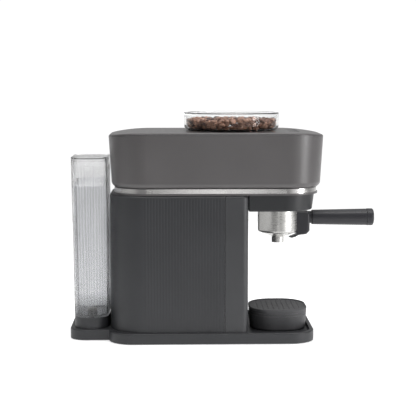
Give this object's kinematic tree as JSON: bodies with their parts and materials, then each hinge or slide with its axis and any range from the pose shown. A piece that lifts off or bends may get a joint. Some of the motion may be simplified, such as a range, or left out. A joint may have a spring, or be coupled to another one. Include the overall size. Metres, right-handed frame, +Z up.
{
  "type": "espresso machine",
  "caption": "Slim bean-to-cup espresso machine with clear bean hopper, rear water tank, locked-in portafilter and lift-off drip tray.",
  "frame": {"origin": "centre of the overall footprint on the surface under the feet", "axes": "+X to the portafilter handle at the front, +Y to the far side, +Z up"},
  "size_m": [0.4724, 0.18, 0.3464],
  "materials": {
    "body_plastic": "satin, fine moulded texture",
    "head_plastic": "soft matt warm grey",
    "button_plastic": "satin",
    "band_steel": "brushed along its length",
    "cup_steel": "turned satin steel",
    "clear_plastic": "clear moulded",
    "rubber": "matt",
    "grip_plastic": "satin black",
    "frame_steel": "plain rolled",
    "burr_steel": "ground, hardened",
    "inner_plastic": "natural moulded",
    "heater_aluminium": "as cast",
    "board_green": "coated circuit board"
  },
  "bodies": {
    "casing": {"base_plate": "body_plastic", "base_bottom_cover": "body_plastic", "rear_body_shell": "body_plastic", "front_body_cover": "body_plastic", "group_cowl": "body_plastic", "head_shell": "head_plastic", "head_top_cover": "head_plastic", "head_bottom_plate": "head_plastic", "trim_band": "band_steel", "bayonet_collar": "cup_steel", "bean_hopper": "clear_plastic", "rubber_feet": "rubber", "group_gasket": "rubber", "pump_mounts": "rubber", "cord_gland": "rubber", "chassis_frame": "frame_steel", "base_screws": "frame_steel", "shaft_bearing": "frame_steel", "grinder_motor": "frame_steel", "spindle_motor": "frame_steel", "grinder_housing": "inner_plastic", "coffee_chute": "inner_plastic", "brew_cylinder": "inner_plastic", "tank_socket": "inner_plastic", "suction_tube": "inner_plastic", "pressure_tube": "inner_plastic", "brew_tube": "inner_plastic", "pump": "inner_plastic", "thermoblock": "heater_aluminium", "control_board": "board_green", "button_board": "board_green"},
    "grind_ring": {"burr_adjust_ring": "inner_plastic", "ring_burr": "burr_steel"},
    "burr": {"cone_burr": "burr_steel", "burr_shaft": "frame_steel", "burr_gear": "inner_plastic"},
    "pinion": {"motor_pinion": "frame_steel"},
    "hopper_lid": {"hopper_lid": "clear_plastic"},
    "button_near": {"brew_button_near": "button_plastic"},
    "button_middle": {"brew_button_middle": "button_plastic"},
    "button_far": {"brew_button_far": "button_plastic"},
    "piston": {"brew_piston": "inner_plastic", "piston_seal": "rubber", "shower_screen": "cup_steel", "brew_hose": "rubber"},
    "spindle": {"piston_spindle": "frame_steel"},
    "portafilter": {"portafilter_cup": "cup_steel", "filter_basket": "cup_steel", "coffee_spout": "cup_steel", "portafilter_bracket": "grip_plastic", "handle_grip": "grip_plastic", "handle_end_cap": "grip_plastic", "handle_bolt": "frame_steel"},
    "tank": {"water_tank": "clear_plastic", "tank_base": "body_plastic", "tank_valve_spring": "frame_steel"},
    "tank_lid": {"tank_lid": "clear_plastic"},
    "tank_valve": {"tank_valve_plunger": "inner_plastic"},
    "drip_tray": {"drip_tray_box": "body_plastic"},
    "tray_cover": {"drip_tray_cover": "body_plastic"}
  },
  "joints": [
    {"name": "portafilter_turn", "type": "hinge", "parent": "casing", "child": "portafilter", "pos_m": [0.0865, 0, 0.205], "axis": [0, 0, 1], "range_deg": [-45, 0]},
    {"name": "brew_piston_slide", "type": "slide", "parent": "casing", "child": "piston", "axis": [0, 0, -1], "range_m": [0, 0.034], "deforming": ["brew_hose"]},
    {"name": "spindle_turn", "type": "hinge", "parent": "casing", "child": "spindle", "pos_m": [0.0865, 0, 0.27], "axis": [0, 0, 1], "range_deg": [0, 720]},
    {"name": "burr_spin", "type": "hinge", "parent": "casing", "child": "burr", "pos_m": [0.0133, 0, 0.27], "axis": [0, 0, 1], "continuous": true},
    {"name": "pinion_spin", "type": "hinge", "parent": "casing", "child": "pinion", "pos_m": [-0.0227, 0, 0.245], "axis": [0, 0, 1], "continuous": true},
    {"name": "grind_adjust_turn", "type": "hinge", "parent": "casing", "child": "grind_ring", "pos_m": [0.0133, 0, 0.29], "axis": [0, 0, 1], "range_deg": [-45, 45]},
    {"name": "hopper_lid_lift", "type": "slide", "parent": "casing", "child": "hopper_lid", "axis": [0, 0, 1], "range_m": [0, 0.05]},
    {"name": "button_near_press", "type": "slide", "parent": "casing", "child": "button_near", "axis": [0, 0, -1], "range_m": [0, 0.0015], "stiffness_N_per_m": 600, "springref_m": -0.001},
    {"name": "button_middle_press", "type": "slide", "parent": "casing", "child": "button_middle", "axis": [0, 0, -1], "range_m": [0, 0.0015], "stiffness_N_per_m": 600, "springref_m": -0.001},
    {"name": "button_far_press", "type": "slide", "parent": "casing", "child": "button_far", "axis": [0, 0, -1], "range_m": [0, 0.0015], "stiffness_N_per_m": 600, "springref_m": -0.001},
    {"name": "tank_lift", "type": "slide", "parent": "casing", "child": "tank", "axis": [0, 0, 1], "range_m": [0, 0.05]},
    {"name": "tank_lid_lift", "type": "slide", "parent": "tank", "child": "tank_lid", "axis": [0, 0, 1], "range_m": [0, 0.04]},
    {"name": "tank_valve_slide", "type": "slide", "parent": "tank", "child": "tank_valve", "axis": [0, 0, 1], "range_m": [0, 0.003], "stiffness_N_per_m": 300, "springref_m": -0.002, "deforming": ["tank_valve_spring"]},
    {"name": "tray_lift", "type": "slide", "parent": "casing", "child": "drip_tray", "axis": [0, 0, 1], "range_m": [0, 0.04]},
    {"name": "tray_cover_lift", "type": "slide", "parent": "drip_tray", "child": "tray_cover", "axis": [0, 0, 1], "range_m": [0, 0.03]}
  ],
  "couplings": [
    {"joint": "pinion_spin", "follows": "burr_spin", "ratio": -5},
    {"joint": "spindle_turn", "follows": "brew_piston_slide", "rad_per_m": 369.6}
  ]
}
